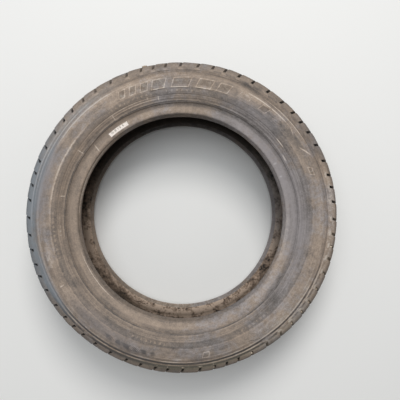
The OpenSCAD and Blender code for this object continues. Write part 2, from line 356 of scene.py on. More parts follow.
def ribbed(points, ribs_at, height, width):
    """The points, with a rib in place of each one that ribs_at names."""
    found = []
    for i, point in enumerate(points):
        if i in ribs_at:
            way = (points[i + 1] - points[i - 1]).normalized()
            found += rib(point, way, height, width)
        else:
            found.append(point)
    return found


def tread_rows(s, edge):
    """Half of the tread, from its middle to its worn edge, with the round grooves."""
    def on_crown(y):
        return Vector((crown_at(CROWN_R, edge, y), y))

    rows = [on_crown(y) for y in (0, CENTRE_SIPE_END)]
    floor_half = s.groove_width / 2
    top_half = floor_half + s.groove_depth * math.tan(GROOVE_DRAFT)
    for middle in (s.groove_pitch / 2, s.groove_pitch * 1.5):
        floor = crown_at(CROWN_R, edge, middle) - s.groove_depth
        rows += [on_crown(middle - top_half), Vector((floor, middle - floor_half)),
                 Vector((floor, middle + floor_half)), on_crown(middle + top_half)]
        if middle < s.groove_pitch:
            rows += [on_crown(y) for y in (RIB_SIPE[0], middle * 2, RIB_SIPE[1])]
    return rows + [on_crown(y) for y in (SHOULDER_SIPE[0], s.slot_start) + SHOULDER_ROWS] + [edge]


def outer_side(c):
    """From the tread's edge down the sidewall to the heel, as two lists: shoulder and wall."""
    shoulder = stretch(c.edge, ACROSS_TREAD, c.shoulder_end, DOWN_SHOULDER, 8)
    foot = c.shoulder_end - Vector((0, SHOULDER_STEP))
    upper = stretch(foot, DOWN_SHOULDER, c.ring_out, TO_AXLE, 12)
    sunk = [p - Vector((0, RIB_BED)) for p in upper[:6]]
    wall = ribbed([foot] + sunk, (1, 2, 3, 4), *FINE_RIB) + upper[5:]
    ring_foot = c.ring_in - Vector((0, RING_STEP))
    lower = stretch(ring_foot, TO_AXLE, c.hollow_end, DOWN_TO_HOLLOW, 10)
    wall += [c.ring_in, ring_foot] + ribbed(lower, (3, 6), *LOWER_RIB)
    wall += stretch(c.hollow_end, -c.out, c.band_end, -c.way, 4)
    wall += [c.band_end.lerp(c.band_start, share) for share in (0.08, 0.5)]
    return shoulder, wall


def bead(s, c):
    """The rounded heel, the base with its two fine lines, and the toe."""
    rows = []
    for i in range(HEEL_STEPS + 1):
        turn = (math.pi / 2 - s.band_lean) * (HEEL_STEPS - i) / HEEL_STEPS
        rows.append(c.heel + s.heel_radius * Vector((1 - math.cos(turn), math.sin(turn))))
    land_end = c.toe + Vector((0, LAND_WIDTH))
    way = (land_end - c.heel).normalized()
    for share in (0.3, 0.65):
        rows += rib(c.heel.lerp(land_end, share), way, *BASE_LINE)
    return rows + [land_end, c.toe + Vector((0, SOFT_TOE[1])), c.toe + Vector((SOFT_TOE[0], 0))]


def inside(c):
    """From the toe up inside the sidewall to the middle of the inner liner."""
    crown = CROWN_R - (c.edge.x - c.inside_edge.x)
    rows = stretch(c.toe + Vector((SOFT_TOE[0], 0)), UP_FROM_TOE, c.inside_ring, -TO_AXLE, 9)
    rows += stretch(c.inside_ring, -TO_AXLE, c.inside_edge, UNDER_TREAD, 9)
    for share in (0.8, 0.6, 0.4, 0.2):
        y = c.inside_edge.y * share
        rows.append(Vector((crown_at(crown, c.inside_edge, y), y)))
    return rows, Vector((crown, 0))


# -------- the casing's mesh


def round_outline(s):
    """The whole section as a closed list of (point, zone), where zone says how fine its columns are."""
    c = corners(s)
    shoulder, wall = outer_side(c)
    liner, crown = inside(c)
    half = [(p, TREAD) for p in tread_rows(s, c.edge) + shoulder]
    half += [(p, WALL) for p in wall + bead(s, c)] + [(p, LINER) for p in liner]
    other = [(Vector((p.x, -p.y)), zone) for p, zone in reversed(half[1:])]
    return half + [(crown, LINER)] + other


def spun(s):
    """The section spun about the Z axis for one pitch of the tread, centred on its mid-plane."""
    bm = bmesh.new()
    zones = bm.verts.layers.int.new("zone")
    bm.verts.layers.float.new("painted_shade")
    bm.verts.layers.float.new("rim")
    verts = []
    for point, zone in round_outline(s):
        vert = bm.verts.new((point.x, 0, point.y))
        vert[zones] = zone
        verts.append(vert)
    for i, vert in enumerate(verts):
        bm.edges.new((vert, verts[i - 1]))
    bmesh.ops.spin(bm, geom=bm.verts[:] + bm.edges[:], cent=(0, 0, 0), axis=(0, 0, 1), dvec=(0, 0, 0),
                   angle=math.tau / s.pitch_count, steps=COLUMNS)
    return bm


def repeated(bm, times):
    """Copies one pitch round the Z axis until the casing is closed."""
    pitch = bpy.data.meshes.new("pitch")
    bm.to_mesh(pitch)
    for _ in range(times - 1):
        pitch.transform(Matrix.Rotation(math.tau / times, 4, "Z"))
        bm.from_mesh(pitch)
    bpy.data.meshes.remove(pitch)
    bmesh.ops.remove_doubles(bm, verts=bm.verts, dist=MERGE)


def column(co, count):
    """Which of count equal columns a point starts, going round from +X."""
    return round(math.atan2(co.y, co.x) % math.tau / math.tau * count) % count


def thin_columns(bm, count):
    """Takes out column edges where the walls and the liner need fewer."""
    zones = bm.verts.layers.int["zone"]
    spare = []
    for edge in bm.edges:
        first, second = edge.verts
        zone = min(first[zones], second[zones])
        if zone == TREAD:
            continue
        place = column(first.co, count)
        if place == column(second.co, count) and place % THIN[zone]:
            spare.append(edge)
    bmesh.ops.dissolve_edges(bm, edges=spare, use_verts=True)


def sink(bm, chosen, floor):
    """Extrudes the chosen faces and moves them in to the radius that floor gives for (radius, y). Each new
    point gets painted shade that grows with how deep it is sunk.
    """
    zones = bm.verts.layers.int["zone"]
    painted_shade = bm.verts.layers.float["painted_shade"]
    made = bmesh.ops.extrude_face_region(bm, geom=chosen)
    for vert in made["geom"]:
        if isinstance(vert, bmesh.types.BMVert):
            vert[zones] = FLOOR
            radius = math.hypot(vert.co.x, vert.co.y)
            share = min(floor(radius, abs(vert.co.z)), radius) / radius
            # painted shade, from none at the surface to full at 2 mm deep
            vert[painted_shade] = min(radius * (1 - share) / FULL_SHADE_DEPTH, 1)
            vert.co.x *= share
            vert.co.y *= share
    bmesh.ops.delete(bm, geom=chosen, context="FACES")


def slot_floor_at(s, y):
    """Radius of a slot's floor at y from mid-plane."""
    start_floor = crown_at(CROWN_R, corners(s).edge, s.slot_start) - s.slot_depth
    return start_floor - (y - s.slot_start) * math.tan(s.slot_fall)


def cut_slots(bm, s, count):
    """Sinks the shoulder slots and then the fine sipes into the tread."""
    def slot_floor(radius, y):
        return slot_floor_at(s, y)

    def sipe_floor(radius, y):
        return radius - s.sipe_depth

    def faces(places, low, high):
        found = []
        for face in bm.faces:
            middle = face.calc_center_median()
            if not low < abs(middle.z) < high or math.hypot(middle.x, middle.y) < OUTSIDE_R:
                continue
            turn = math.atan2(middle.y, middle.x) % math.tau / math.tau * count
            if int(turn) % COLUMNS in places:
                found.append(face)
        return found

    slots = [f for f in faces(SLOT_COLUMNS, s.slot_start, SLOT_END)
             if math.hypot(*f.calc_center_median().xy) > slot_floor(0, abs(f.calc_center_median().z))]
    sink(bm, slots, slot_floor)
    sink(bm, faces(SHOULDER_SIPE_COLUMNS, *SHOULDER_SIPE), sipe_floor)
    sink(bm, faces(RIB_SIPE_COLUMNS, *RIB_SIPE), sipe_floor)
    sink(bm, faces(CENTRE_SIPE_COLUMNS, 0, CENTRE_SIPE_END), sipe_floor)
    bmesh.ops.remove_doubles(bm, verts=bm.verts, dist=MERGE)


def shoulder_places(s, length):
    """Where a pitch's columns start on the shoulder, as arc lengths from its slot's middle."""
    slot, cut = s.slot_width, s.sipe_width
    strip = (length - slot - 2 * cut) / 6
    widths = [slot / 2, slot / 2, strip, strip, cut, strip, strip, cut, strip]
    return [sum(widths[:i]) - slot / 2 for i in range(COLUMNS)]


def rib_places(s, length):
    """Where a pitch's columns start on the ribs in the tread's middle."""
    cut = s.sipe_width
    strip = (length - 2 * cut) / 8
    widths = [cut] + [strip] * 4 + [cut] + [strip] * 3
    return [sum(widths[:i]) - cut / 2 for i in range(COLUMNS)]


def pitches(s):
    """The relative lengths of the tread's pitches, and the directions in which they start."""
    parts = [PITCHES[k % len(PITCHES)] for k in range(s.pitch_count)]
    return parts, [math.tau * sum(parts[:k]) / sum(parts) for k in range(s.pitch_count)]


def lay_pitches(bm, s, count):
    """Moves the even columns to the uneven pitches, slants them and wears the blocks' leading ends.

    It also marks the slots' rims, where dust gathers."""
    parts, starts = pitches(s)
    whole = sum(parts)
    zones = bm.verts.layers.int["zone"]
    rim = bm.verts.layers.float["rim"]
    tread_r = CROWN_R - s.crown_drop
    on_shoulder = [shoulder_places(s, math.tau * tread_r * part / whole) for part in parts]
    on_ribs = [rib_places(s, math.tau * tread_r * part / whole) for part in parts]
    for vert in bm.verts:
        radius = math.hypot(vert.co.x, vert.co.y)
        y = vert.co.z
        pitch, place = divmod(column(vert.co, count), COLUMNS)
        share = min(max((abs(y) - RIB_SIPE[1]) / (SHOULDER_SIPE[0] - RIB_SIPE[1]), 0), 1)
        arc = on_ribs[pitch][place] * (1 - share) + on_shoulder[pitch][place] * share
        arc += max(-SLANT_END, min(SLANT_END, y)) * math.tan(s.slot_slant)
        turn = starts[pitch] + arc / tread_r
        if vert[zones] == TREAD and SHOULDER_SIPE[0] - MM < abs(y) < SLOT_END:
            along = 1 if place == 0 else max(place - 2, 0) / (COLUMNS - 2)
            fade = min((SLOT_END - abs(y)) / WEAR_FADE, 1)
            radius -= s.block_wear * fade * (1 - along) ** 1.5
        vert[rim] = float(place < 3 and abs(y) > SLOT_END - 2 * MM and radius > RIM_R)
        vert.co.x = radius * math.cos(turn)
        vert.co.y = radius * math.sin(turn)


def settle(co):
    """Where a point of the true round shape lies on the old, slightly uneven tyre."""
    radius = math.hypot(co.x, co.y)
    out = Vector((co.x, co.y, 0)) / radius
    y = co.z - MIDDLE
    off = sum(noise.noise(co * scale + shift) * size for scale, shift, size in UNEVEN)
    lifted = min(max(co.z / LIFTED_OVER, 0), 1)
    across = math.copysign(min(abs(y) / HALF_W, 1) ** 2, y) * lifted
    return co + out * off + Vector((0, 0, across * off))


# -------- dirt and dust, with some painted shade, as an attribute


def fade(number, start, width):
    """0 up to start and 1 from start + width on, with a straight change between them."""
    return np.clip((number - start) / width, 0, 1)


SIDES = {
    "wall": lambda radius, y: fade(y, 72, 6),
    "tread": lambda radius, y: fade(radius, 285, 8),
    "near_base": lambda radius, y: fade(y, 66, 4) * fade(-radius, -208, 2),
    "far_bead": lambda radius, y: fade(-y, 62, 4) * fade(-radius, -240, 8),
    "under": lambda radius, y: fade(-y, 78, 6)}


def paint(mesh, extra=(0, 0, 0, 0)):
    """Stores how much dust, mud, cool haze and bare rubber each point has, from the patches; some bare
    patches are painted shade, and the left's cool haze is partly painted cool light.
    """
    points = np.zeros(len(mesh.vertices) * 3)
    mesh.vertices.foreach_get("co", points)
    points = points.reshape(-1, 3)
    radius = np.hypot(points[:, 0], points[:, 1]) / MM
    turn = np.degrees(np.arctan2(points[:, 1], points[:, 0])) % 360
    y = (points[:, 2] - MIDDLE) / MM
    amounts = np.zeros((len(points), 4)) + np.array(extra)
    for (side, channel), patches in PATCHES.items():
        here = SIDES[side](radius, y)
        for middle, half_turn, at, half_width, strength in patches:
            around = np.abs((turn - middle + 180) % 360 - 180) / half_turn
            across = np.abs((y if side == "tread" else radius) - at) / half_width
            near = np.clip(1 - np.hypot(around, across), 0, 1)
            amounts[:, channel] += strength * here * near * near * (3 - 2 * near)
    attribute = mesh.attributes.new("dirt", "FLOAT_COLOR", "POINT")
    attribute.data.foreach_set("color", np.clip(amounts, 0, 1).ravel())


# -------- shader helpers


def arithmetic(operation, reflected=False):
    """The method of Value that adds a Math node with this operation."""
    def method(self, other):
        return self.math(operation, *((other, self) if reflected else (self, other)))
    return method


class Value:
    """A number in a shader. Arithmetic on it adds Math nodes."""

    def __init__(self, shader, socket):
        self.shader = shader
        self.socket = socket

    def math(self, operation, *inputs):
        return self.shader.node("Math", {"operation": operation}, dict(enumerate(inputs)))

    __add__ = __radd__ = arithmetic("ADD")
    __mul__ = __rmul__ = arithmetic("MULTIPLY")
    __sub__ = arithmetic("SUBTRACT")
    __rsub__ = arithmetic("SUBTRACT", True)
    __truediv__ = arithmetic("DIVIDE")
    __pow__ = arithmetic("POWER")

    def ramp(self, low, high):
        """0 below low and 1 above high, with a smooth change between them."""
        return self.shader.node("MapRange", {"interpolation_type": "SMOOTHSTEP"},
                                {"Value": self, "From Min": low, "From Max": high}, "Result")

    def absolute(self):
        return self.math("ABSOLUTE", self)

    def limited(self):
        return self.shader.node("Clamp", {}, {"Value": self})


class Shader:
    """A material whose nodes are made one expression at a time."""

    def __init__(self, name, **constants):
        self.material = bpy.data.materials.new(name)
        self.material.use_nodes = True
        self.tree = self.material.node_tree
        self.surface = self.tree.nodes["Principled BSDF"]
        for socket, number in constants.items():
            self.surface.inputs[socket.replace("_", " ")].default_value = number

    def node(self, kind, settings, inputs, output=0):
        made = self.tree.nodes.new("ShaderNode" + kind)
        for key, setting in settings.items():
            setattr(made, key, setting)
        for key, given in inputs.items():
            if isinstance(given, Value):
                self.tree.links.new(given.socket, made.inputs[key])
            else:
                made.inputs[key].default_value = given
        return Value(self, made.outputs[output])

    def level(self, place, stops, interpolation="LINEAR"):
        """The level at a place, where each stop is a place and its level."""
        found = self.node("ValToRGB", {}, {"Fac": place})
        ramp = found.socket.node.color_ramp
        ramp.interpolation = interpolation
        for i, (at, grey) in enumerate(stops):
            stop = ramp.elements[i] if i < 2 else ramp.elements.new(at)
            stop.position = at
            stop.color = (grey, grey, grey, 1)
        return found

    def mix(self, factor, first, second):
        """A colour between first and second; each may be a Value or three numbers."""
        def whole(colour):
            return colour if isinstance(colour, Value) else (*colour, 1)
        return self.node("Mix", {"data_type": "RGBA"},
                         {"Factor": factor, 6: whole(first), 7: whole(second)}, 2)

    def noise(self, vector, scale, detail, roughness):
        return self.node("TexNoise", {}, {"Vector": vector, "Scale": scale, "Detail": detail,
                                          "Roughness": roughness})

    def stored(self, name, output="Fac"):
        return self.node("Attribute", {"attribute_name": name}, {}, output)

    def vector(self, x, y, z):
        return self.node("CombineXYZ", {}, {"X": x, "Y": y, "Z": z})

    def place(self):
        """Object coordinates as a vector and as its three numbers."""
        whole = self.node("TexCoord", {}, {}, "Object")
        return whole, [self.node("SeparateXYZ", {}, {"Vector": whole}, axis) for axis in "XYZ"]

    def join(self, value, socket):
        self.tree.links.new(value.socket, self.surface.inputs[socket])

    def bump(self, height, distance, strength):
        self.join(self.node("Bump", {}, {"Height": height, "Distance": distance, "Strength": strength}),
                  "Normal")


# -------- materials


def dirt_layers(sh):
    """The stored dust, mud, haze and bare amounts (bare also holds some painted shade), and the amounts of
    painted shade in the cuts and of dust at the slots' rims.
    """
    dirt = {"Color": sh.stored("dirt", "Color")}
    layers = [sh.node("SeparateColor", {}, dirt, name) for name in ("Red", "Green", "Blue")]
    return layers + [sh.stored("dirt", "Alpha"), sh.stored("painted_shade"), sh.stored("rim")]


def scuffs_and_painted_light(x, y, r, upper):
    """Sum of the fine pale and dark scuffs on the upper sidewall, with a painted highlight along the toe and
    a row of painted shade.
    """
    from_front, from_back = y.math("ARCTAN2", y, x), y.math("ARCTAN2", 0 - y, 0 - x)
    whole = 0
    for at, half_turn, radius, half_width, lean, strength in SCUFFS_AND_PAINTED_LIGHT:
        turn, zero = (from_back, 180) if 90 < at < 270 else (from_front, 0)
        middle = math.radians((at - zero + 180) % 360 - 180)
        off = r - radius * MM
        away = (turn - middle - off * (math.radians(lean) / MM)).absolute()
        across = off.absolute()
        whole = whole + ((1 - away.ramp(0.3 * math.radians(half_turn), math.radians(half_turn)))
                         * (1 - across.ramp(0.3 * half_width * MM, half_width * MM)) * strength)
    return whole * upper


def rubber_material(looks):
    """Old rubber under dust: painted shade and highlight in fine rings, streaks that run round it, blotches,
    grain, a brown film, and painted shade in the cuts.
    """
    sh = Shader("dusty_rubber", IOR=1.45)
    whole, (x, y, z) = sh.place()
    r = (x * x + y * y) ** 0.5
    over_middle = z - MIDDLE
    height = over_middle.absolute()
    along = r - height * 0.45
    streaks = sh.noise(sh.vector(x / r * 2.2, y / r * 2.2, along * 330), 1.0, 4.0, 0.65)
    swirls = sh.noise(sh.vector(x / r * 5.0, y / r * 5.0, along * 80), 1.0, 4.0, 0.6)
    blotches = sh.noise(whole, 34, 5.0, 0.62)
    mottles = sh.noise(whole, 130, 3.0, 0.6)
    drift = sh.noise(whole, 13, 4.0, 0.6)
    specks = sh.noise(whole, 380, 3.0, 0.7)
    grain = sh.noise(whole, 1400, 2.0, 0.6)
    mottled, specked, swirled = mottles - 0.5, specks - 0.5, swirls - 0.5
    dust, mud, haze, bare_and_shade, painted_shade, rim = dirt_layers(sh)

    def towards(x_part, y_part):
        """Up to 1 in that direction from the axle line, and less away from it."""
        return (x * x_part + y * y_part) / r

    # Where there is more or less dust and mud, and where painted shade and highlight are stronger or weaker
    on_wall = height.ramp(0.072, 0.088)
    lower_half = 1 - y.ramp(-0.22, -0.02)
    # painted ring shade and highlight, much stronger on the lower half, away from the key lamp
    ring_light_strength = 1.2 + (lower_half * 3.2 - 0.7) * r.ramp(0.268, 0.278)
    slot_ends = r.ramp(0.284, 0.289) * over_middle.ramp(0.066, 0.077)
    # weakens the painted shade in the slots towards +Y, the top of the tyre
    less_shade_at_top = towards(-0.17, 0.98).ramp(0.78, 0.93) * slot_ends * 0.75
    packed_ends = towards(0.87, -0.5).ramp(0.80, 0.95) * slot_ends * (0.45 + specks)
    scuffs_and_light = scuffs_and_painted_light(x, y, r, over_middle.ramp(0.060, 0.068)) * (0.3 + specks)

    # How much dust lies on the rubber, with painted shade and highlight in the rings, the hollow, a few
    # lines and some patches
    share = (r - TOE_R) / (CROWN_R - TOE_R)
    band = sh.level(share + mottled * 0.06, BAND_DUST_AND_SHADE)
    ring_light = sh.level(share + mottled * 0.012, RING_SHADE_AND_HIGHLIGHT)
    amount = band * on_wall + (1 - on_wall) * 0.45
    # painted shade and highlight of the fine rings
    amount = amount + (ring_light - 0.5) * on_wall * swirls.ramp(0.3, 0.62) * ring_light_strength
    amount = amount + (streaks - 0.5) * 0.6 + swirled * 0.7 + (blotches - 0.5) * 0.6
    amount = amount + mottled * 0.65 + specked * 0.9 + (grain - 0.5) * 0.3
    amount = amount + dust * (1 + mottled * 1.6 + specked * 1.4) * 0.62 - bare_and_shade * 0.5
    amount = amount + rim * (0.4 + packed_ends) + scuffs_and_light * 1.3

    # The colour: dust, then the brown film (olive at the bottom, partly painted reflection), the haze
    # (partly painted cool light on the left), caked mud and the painted shade of the cuts
    cool_side = towards(0.98, 0.17) * (1 - r.ramp(0.235, 0.262))
    dust_hue = sh.mix((drift + mottled * 0.4 + cool_side * 0.22).ramp(0.44, 0.70),
                      looks.dust, looks.cool_dust)
    colour = sh.mix(amount.limited(), looks.rubber, dust_hue)
    colour = sh.mix(amount.ramp(0.95, 1.7) * 0.9, colour, looks.chalk)
    film = (mud * (0.5 + swirls + mottled * 1.5)).limited()
    # the film is olive towards the bottom: partly stain, partly painted green reflected light
    colour = sh.mix(film * 0.85, colour, sh.mix(y.ramp(-0.26, -0.10), looks.olive_stain_and_reflection, looks.stain))
    # the haze: cool grey on the left, partly painted cool light, and lilac to the right and further in
    bloom = (haze * (0.5 + streaks * 1.1 + swirled * 1.4 + mottled * 1.2)).limited()
    lilac_part = (x.ramp(-0.12, 0.06) + 1 - r.ramp(0.268, 0.288)).limited()
    colour = sh.mix(bloom * 0.9, colour, sh.mix(lilac_part, looks.haze, looks.lilac))
    colour = sh.mix((scuffs_and_light * bloom * 0.6).limited(), colour, looks.frost)
    caked = (mud + rim * mud + specked * 1.2 + mottled).ramp(0.70, 0.95)
    colour = sh.mix(caked, colour, sh.mix(specks.ramp(0.42, 0.6), looks.mud, looks.pale_mud))
    # painted shade: the cuts and the panels' sunk middles are mixed towards near black
    sunk = painted_shade.ramp(0.15, 0.85) * 0.95
    colour = sh.mix((sunk * packed_ends).limited(), colour, looks.pale_mud)
    # how much painted shade is left in the slots
    shade_left = (1 - less_shade_at_top) * (1 - packed_ends * 0.85).limited()
    colour = sh.mix(sunk * shade_left, colour, looks.cut)
    sh.join(colour, "Base Color")
    sh.join(0.68 + amount.limited() * 0.26, "Roughness")
    sh.bump(grain * 0.4 + specks * 0.8 + mottles * 0.8 + streaks * 0.7 + caked * 1.5, 0.0006, 0.85)
    return sh.material


def liner_material(looks):
    """The smooth black inner liner, with the dust and mud that lie in it."""
    sh = Shader("inner_liner", IOR=1.48)
    whole, _ = sh.place()
    dust, mud, haze, *_ = dirt_layers(sh)
    blotches = sh.noise(whole, 52, 5.0, 0.65)
    specks = sh.noise(whole, 210, 3.0, 0.7)
    rough = (blotches - 0.5) * 2.4 + specks - 0.5
    amount = 0.10 + dust * (1 + rough * 2.4) + rough * 0.12
    colour = sh.mix(amount.limited(), looks.liner, looks.silt)
    colour = sh.mix(amount.ramp(0.75, 1.35), colour, looks.pale_silt)
    colour = sh.mix((mud * (0.8 + rough)).limited(), colour, looks.stain)
    colour = sh.mix((haze * (0.6 + rough * 0.8)).limited(), colour, looks.haze)
    sh.join(colour, "Base Color")
    sh.join(0.5 + amount.limited() * 0.4, "Roughness")
    sh.bump(specks * 0.6 + blotches, 0.0008, 0.8)
    return sh.material


def label_material(looks):
    """Aged paper with a row of dark bars across it."""
    sh = Shader("aged_paper", Roughness=0.85)
    uv = sh.node("UVMap", {"uv_map": "label"}, {})
    along, across = [sh.node("SeparateXYZ", {}, {"Vector": uv}, axis) for axis in "XY"]
    stains = sh.noise(uv, 6, 4.0, 0.6)
    fibres = sh.noise(uv, 60, 3.0, 0.7)
    bars = sh.level(along, LABEL_BARS, "CONSTANT")
    inside_edges = across.ramp(0.34, 0.44) * (1 - across.ramp(0.86, 0.93))
    ink = (bars * inside_edges * (0.55 + stains * 0.5)).limited()
    paper = sh.mix((stains.ramp(0.45, 0.75) * 0.7).limited(), looks.paper, looks.stained_paper)
    sh.join(sh.mix(ink, paper, looks.ink), "Base Color")
    sh.bump(fibres, 0.0001, 0.5)
    return sh.material


def mud_material(looks):
    """Dried mud and grit."""
    sh = Shader("dried_mud", Roughness=0.95)
    whole, _ = sh.place()
    lumps = sh.noise(whole, 240, 4.0, 0.65)
    sh.join(sh.mix(lumps.ramp(0.36, 0.64), looks.mud, looks.pale_mud), "Base Color")
    sh.bump(lumps, 0.0008, 0.9)
    return sh.material


def floor_material(looks):
    """A plain pale floor, which throws back only as much light as a dull cloth would."""
    sh = Shader("pale_floor", Roughness=0.9, Specular_IOR_Level=0.2)
    seen = [sh.node("LightPath", {}, {}, ray)
            for ray in ("Is Camera Ray", "Is Glossy Ray", "Is Transmission Ray")]
    sh.join(sh.mix((seen[0] + seen[1] + seen[2]).limited(), tuple(looks.floor_bounce), tuple(looks.floor)),
            "Base Color")
    return sh.material


# -------- shared steps


def put(name, data):
    """A new object of the scene that holds data."""
    thing = bpy.data.objects.new(name, data)
    bpy.context.scene.collection.objects.link(thing)
    return thing


def show(name, bm, *materials):
    """Turns a bmesh into an object of the scene."""
    mesh = bpy.data.meshes.new(name)
    bm.to_mesh(mesh)
    bm.free()
    for coat in materials:
        mesh.materials.append(coat)
    return put(name, mesh)


def smooth(piece, degrees):
    """Shades a piece smooth, apart from edges sharper than this."""
    piece.data.shade_smooth()
    piece.data.set_sharp_from_angle(angle=math.radians(degrees))


def material(name, maker):
    """The material of that name, made once."""
    return bpy.data.materials.get(name) or maker(bpy.context.scene.tyre_looks)


def wall_height(s):
    """A function that gives the sidewall's height over mid-plane at a radius."""
    _, wall = outer_side(corners(s))
    wall.sort(key=lambda p: p.x)
    radii, heights = zip(*wall)
    return lambda radius: float(np.interp(radius, radii, heights))


def wrap(bm, side, turn, radius, surface):
    """Bends flat work (x along the arc, y outwards, z up) onto the upper (1) or lower (-1) sidewall."""
    for vert in bm.verts:
        r = radius + vert.co.y
        angle = turn - vert.co.x / radius * side
        height = surface(r) + vert.co.z
        vert.co = settle(Vector((r * math.cos(angle), r * math.sin(angle), MIDDLE + side * height)))
        vert.co.z = max(vert.co.z, 0.1 * MM)
    bmesh.ops.recalc_face_normals(bm, faces=bm.faces)


def add_block(bm, length, depth, at=(0, 0), slant=0.0, rise=PANEL_RISE, frame_w=0.0):
    """A raised block; with frame_w, its middle is sunk with a sloped inner edge and leaves a raised outline.
    """
    painted_shade = bm.verts.layers.float.get("painted_shade") or bm.verts.layers.float.new("painted_shade")
    verts = bmesh.ops.create_cube(bm, size=1)["verts"]
    bmesh.ops.scale(bm, vec=(length, depth, 2 * rise), verts=verts)
    for vert in verts:
        vert.co.x += vert.co.y * slant + at[0]
        vert.co.y += at[1]
    top = [f for f in {f for v in verts for f in v.link_faces} if f.calc_center_median().z > rise / 2]
    if frame_w:
        bmesh.ops.inset_region(bm, faces=top, thickness=frame_w, depth=0)
        bmesh.ops.inset_region(bm, faces=top, thickness=0.25 * MM, depth=-0.55 * rise)
        for vert in {v for f in top for v in f.verts}:
            # painted shade on the sunk middle
            vert[painted_shade] = PANEL_SHADE


# -------- operators


class TYRE_OT_casing(bpy.types.Operator):
    """Builds the casing: tread, sidewalls, beads and inner liner in one closed piece"""
    bl_idname = "tyre.casing"
    bl_label = "Casing"

    def execute(self, context):
        s = context.scene.tyre_sizes
        count = s.pitch_count * COLUMNS
        bm = spun(s)
        thin_columns(bm, count)
        cut_slots(bm, s, count)
        repeated(bm, s.pitch_count)
        lay_pitches(bm, s, count)
        for vert in bm.verts:
            vert.co.z += MIDDLE
            vert.co = settle(vert.co)
        bmesh.ops.recalc_face_normals(bm, faces=bm.faces)
        zones = bm.verts.layers.int["zone"]
        for face in bm.faces:
            face.material_index = int(all(vert[zones] == LINER for vert in face.verts))
        piece = show("tyre_casing", bm, material("dusty_rubber", rubber_material),
                     material("inner_liner", liner_material))
        smooth(piece, 32)
        paint(piece.data)
        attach(piece, "root")
        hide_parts("tyre")
        return {"FINISHED"}


class TYRE_OT_marks(bpy.types.Operator):
    """Adds generic raised panels, rows of small blocks and hatched strips to both sidewalls"""
    bl_idname = "tyre.marks"
    bl_label = "Sidewall marks"

    def execute(self, context):
        s = context.scene.tyre_sizes
        surface = wall_height(s)
        whole = bmesh.new()
        whole.verts.layers.float.new("painted_shade")
        marks = [(kind, *mark) for kind, group in MARKS.items() for mark in group]
        for side, start in ((1, 0), (-1, LOWER_MARKS_TURN)):
            for kind, turn, length, radius, depth in marks:
                bm = bmesh.new()
                self.shape(bm, kind, length * MM, depth * MM)
                long_edges = [e for e in bm.edges if e.calc_length() > LONGEST_EDGE]
                bmesh.ops.subdivide_edges(bm, edges=long_edges, cuts=3, use_grid_fill=True)
                wrap(bm, side, math.radians(turn + start), radius * MM, surface)
                joined = bpy.data.meshes.new("mark")
                bm.to_mesh(joined)
                whole.from_mesh(joined)
                bpy.data.meshes.remove(joined)
                bm.free()
        piece = show("sidewall_marks", whole, material("dusty_rubber", rubber_material))
        smooth(piece, 40)
        paint(piece.data, (0.85, 0, 0, 0))
        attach(piece, "root")
        return {"FINISHED"}

    def shape(self, bm, kind, length, depth):
        """One flat mark about the origin: a leaning framed panel, a tick or a hatched strip."""
        if kind == "panel":
            add_block(bm, length, depth, slant=PANEL_SLANT, frame_w=PANEL_FRAME)
        elif kind == "tick":
            add_block(bm, length, depth, rise=LOW_RISE)
            for vert in bm.verts:
                # a little painted shade on the whole tick
                vert[bm.verts.layers.float["painted_shade"]] = TICK_SHADE
        elif kind == "hatch":
            lines = max(int(length / HATCH_PITCH), 2)
            for i in range(lines):
                add_block(bm, HATCH_WIDTH, depth, at=(length * ((i + 0.5) / lines - 0.5), 0),
                          slant=HATCH_SLANT, rise=LOW_RISE)


class TYRE_OT_label(bpy.types.Operator):
    """Lays the small paper label on the upper bead's band"""
    bl_idname = "tyre.label"
    bl_label = "Bead label"

    def execute(self, context):
        s = context.scene.tyre_sizes
        c = corners(s)
        low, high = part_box("bead_label")
        middle = (low + high) / 2
        turn = math.atan2(middle.y, middle.x)
        mid_band = c.band_start.lerp(c.band_end, 0.5)
        bm = bmesh.new()
        uv = bm.loops.layers.uv.new("label")
        bmesh.ops.create_grid(bm, x_segments=36, y_segments=8, size=0.5)
        for face in bm.faces:
            for loop in face.loops:
                loop[uv].uv = (loop.vert.co.x + 0.5, loop.vert.co.y + 0.5)
        for vert in bm.verts:
            u, v = vert.co.x, vert.co.y
            torn = noise.noise(Vector((u * 14, v * 3, 2))) * LABEL_TEAR
            curl = max(abs(u) - CURL_FROM, 0) / CURL_OVER * max(v + 0.1, 0) * LABEL_CURL
            buckle = noise.noise(Vector((u * 20, v * 5, 7))) * LABEL_BUCKLE
            at = mid_band + c.way * (v * s.label_width + torn * abs(v) * 2)
            at = at + c.out * (LABEL_GAP + curl + buckle)
            angle = turn - u * s.label_length / mid_band.x
            vert.co = settle(Vector((at.x * math.cos(angle), at.x * math.sin(angle), MIDDLE + at.y)))
        bmesh.ops.recalc_face_normals(bm, faces=bm.faces)
        if sum(face.normal.z for face in bm.faces) < 0:
            bmesh.ops.reverse_faces(bm, faces=bm.faces)
        bmesh.ops.solidify(bm, geom=bm.faces[:], thickness=LABEL_THICKNESS)
        bmesh.ops.recalc_face_normals(bm, faces=bm.faces)
        piece = show("paper_label", bm, material("aged_paper", label_material))
        smooth(piece, 50)
        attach(piece, "root")
        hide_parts("bead_label")
        return {"FINISHED"}


